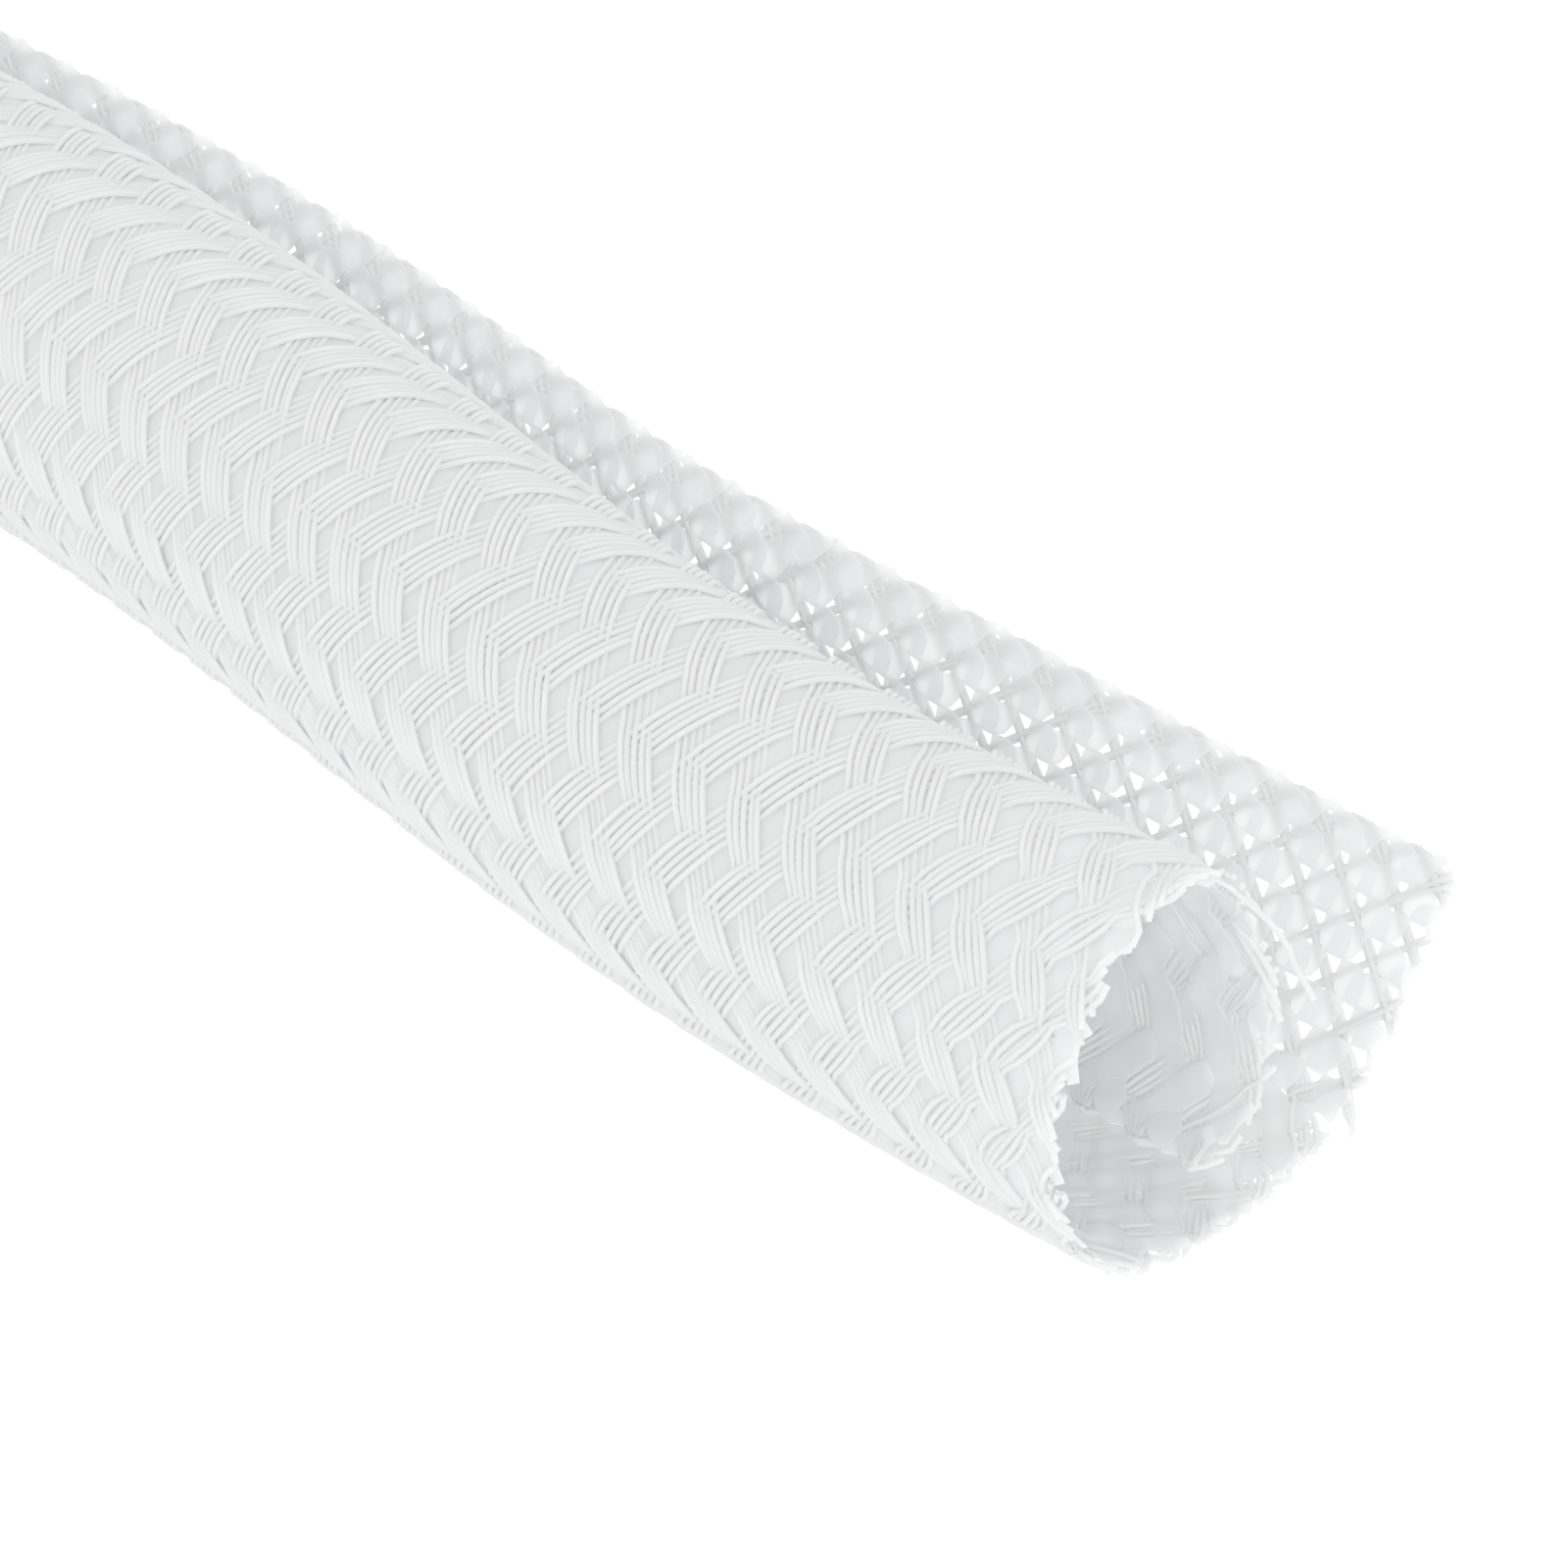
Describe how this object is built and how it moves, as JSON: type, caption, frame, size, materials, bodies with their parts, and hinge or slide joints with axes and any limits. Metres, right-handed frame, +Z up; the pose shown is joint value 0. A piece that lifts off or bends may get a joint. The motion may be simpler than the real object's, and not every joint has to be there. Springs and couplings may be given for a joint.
{
  "type": "split braided cable sleeve",
  "caption": "Length of split, self-wrapping braided sleeve: a woven strip curled into a round bore with one open edge, for bundling and covering cables.",
  "frame": {"origin": "on the floor, under the middle of the sleeve's length and width as it lies", "axes": "+X along the sleeve towards the cut end that is seen, +Y towards the free rear edge, +Z up"},
  "size_m": [1, 0.0242, 0.0174],
  "materials": {
    "braid": "White polyester braid: bundles of shiny, slightly clear single filaments with matte fine yarn between them"
  },
  "bodies": {
    "root": {"sleeve": "braid"}
  },
  "joints": []
}
